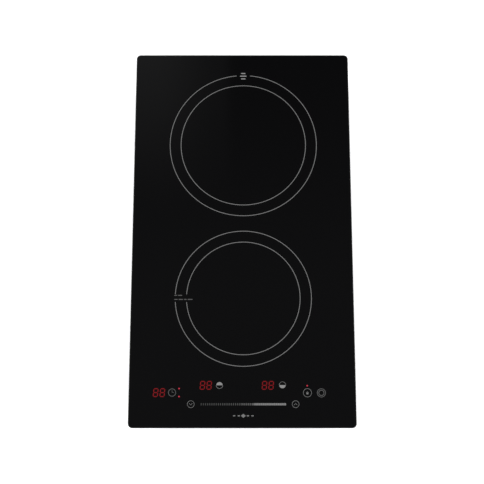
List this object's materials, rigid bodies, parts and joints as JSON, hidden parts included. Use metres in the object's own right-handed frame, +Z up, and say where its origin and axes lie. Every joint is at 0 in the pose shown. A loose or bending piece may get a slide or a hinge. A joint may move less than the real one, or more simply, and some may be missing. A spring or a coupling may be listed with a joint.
{
  "type": "induction cooktop",
  "caption": "Built-in induction cooktop with a black glass top, one cooking zone behind the other, a touch control strip at the front and a vented steel casing.",
  "frame": {"origin": "centre of the bounding box's base, at the underside of the casing's feet", "axes": "+X to the user's right, +Y to the back of the cooktop, +Z up"},
  "size_m": [0.3, 0.52, 0.06],
  "materials": {
    "glass_ceramic": "polished black glass-ceramic",
    "foam_seal": "closed-cell foam tape",
    "silicone": "cured silicone bead",
    "galvanised_sheet": "galvanised sheet",
    "zinc_steel": "zinc-plated",
    "spring_steel": "bright spring wire",
    "aluminium_sheet": "mill finish",
    "circuit_board": "solder-masked glass-fibre board",
    "black_plastic": "moulded, fine grain",
    "white_plastic": "moulded",
    "grey_plastic": "moulded",
    "yellow_film": "moulded box",
    "can_sleeve": "shrink sleeve",
    "copper": "enamelled copper litz",
    "ferrite": "sintered",
    "mica": "pressed mica",
    "ceramic": "unglazed",
    "magnet": "bonded ferrite",
    "bronze": "sintered bronze",
    "lead_sleeve": "woven glass sleeve",
    "wire": "insulated copper",
    "red_lens": "clear red lens"
  },
  "bodies": {
    "casing": {"blower_bearing": "bronze", "blower_cover": "black_plastic", "blower_housing": "black_plastic", "blower_lead": "wire", "blower_stator": "copper", "board_connectors": "white_plastic", "bottom_casing": "galvanised_sheet", "bracket_fasteners": "zinc_steel", "carrier_frame": "galvanised_sheet", "casing_screws": "zinc_steel", "coil_support_plate": "aluminium_sheet", "control_board": "circuit_board", "control_chips": "black_plastic", "control_tray": "white_plastic", "display_modules": "black_plastic", "electrolytic_capacitors": "can_sleeve", "film_capacitors": "yellow_film", "filter_board": "circuit_board", "front_coil_leads": "lead_sleeve", "front_coil_springs": "spring_steel", "gland_body": "grey_plastic", "gland_nuts": "grey_plastic", "gland_seal": "foam_seal", "glass_bond": "silicone", "glass_top": "glass_ceramic", "heat_sink": "aluminium_sheet", "indicator_leds": "red_lens", "inductors": "copper", "internal_screws": "zinc_steel", "mains_fuse": "grey_plastic", "mains_wires": "wire", "power_board": "circuit_board", "power_transistors": "black_plastic", "rear_coil_leads": "lead_sleeve", "rear_coil_springs": "spring_steel", "ribbon_cable": "grey_plastic", "standoffs": "zinc_steel", "terminal_block": "white_plastic", "terminal_cover": "galvanised_sheet", "touch_springs": "spring_steel", "worktop_seal": "foam_seal"},
    "bracket_left_front": {"bracket_left_front": "zinc_steel"},
    "bracket_left_rear": {"bracket_left_rear": "zinc_steel"},
    "bracket_right_front": {"bracket_right_front": "zinc_steel"},
    "bracket_right_rear": {"bracket_right_rear": "zinc_steel"},
    "rear_coil": {"rear_coil_former": "white_plastic", "rear_coil_winding": "copper", "rear_coil_ferrites": "ferrite", "rear_coil_insulation": "mica", "rear_sensor_spring": "spring_steel"},
    "rear_sensor": {"rear_sensor": "ceramic"},
    "front_coil": {"front_coil_former": "white_plastic", "front_coil_winding": "copper", "front_coil_ferrites": "ferrite", "front_coil_insulation": "mica", "front_sensor_spring": "spring_steel"},
    "front_sensor": {"front_sensor": "ceramic"},
    "blower_rotor": {"blower_impeller": "black_plastic", "blower_magnet": "magnet", "blower_shaft": "spring_steel"}
  },
  "joints": [
    {"name": "rear_coil_float", "type": "slide", "parent": "casing", "child": "rear_coil", "axis": [0, 0, 1], "range_m": [-0.0025, 0], "stiffness_N_per_m": 3000, "springref_m": 0.005, "deforming": ["rear_coil_springs", "rear_coil_leads"]},
    {"name": "rear_sensor_float", "type": "slide", "parent": "rear_coil", "child": "rear_sensor", "axis": [0, 0, 1], "range_m": [-0.0015, 0], "stiffness_N_per_m": 200, "springref_m": 0.003, "deforming": ["rear_sensor_spring"]},
    {"name": "front_coil_float", "type": "slide", "parent": "casing", "child": "front_coil", "axis": [0, 0, 1], "range_m": [-0.0025, 0], "stiffness_N_per_m": 3000, "springref_m": 0.005, "deforming": ["front_coil_springs", "front_coil_leads"]},
    {"name": "front_sensor_float", "type": "slide", "parent": "front_coil", "child": "front_sensor", "axis": [0, 0, 1], "range_m": [-0.0015, 0], "stiffness_N_per_m": 200, "springref_m": 0.003, "deforming": ["front_sensor_spring"]},
    {"name": "blower_spin", "type": "hinge", "parent": "casing", "child": "blower_rotor", "pos_m": [-0.062, -0.148, 0.017], "axis": [0, 0, 1], "continuous": true},
    {"name": "bracket_left_front_slide", "type": "slide", "parent": "casing", "child": "bracket_left_front", "axis": [0, 0, 1], "range_m": [0, 0.012]},
    {"name": "bracket_left_rear_slide", "type": "slide", "parent": "casing", "child": "bracket_left_rear", "axis": [0, 0, 1], "range_m": [0, 0.012]},
    {"name": "bracket_right_front_slide", "type": "slide", "parent": "casing", "child": "bracket_right_front", "axis": [0, 0, 1], "range_m": [0, 0.012]},
    {"name": "bracket_right_rear_slide", "type": "slide", "parent": "casing", "child": "bracket_right_rear", "axis": [0, 0, 1], "range_m": [0, 0.012]}
  ]
}
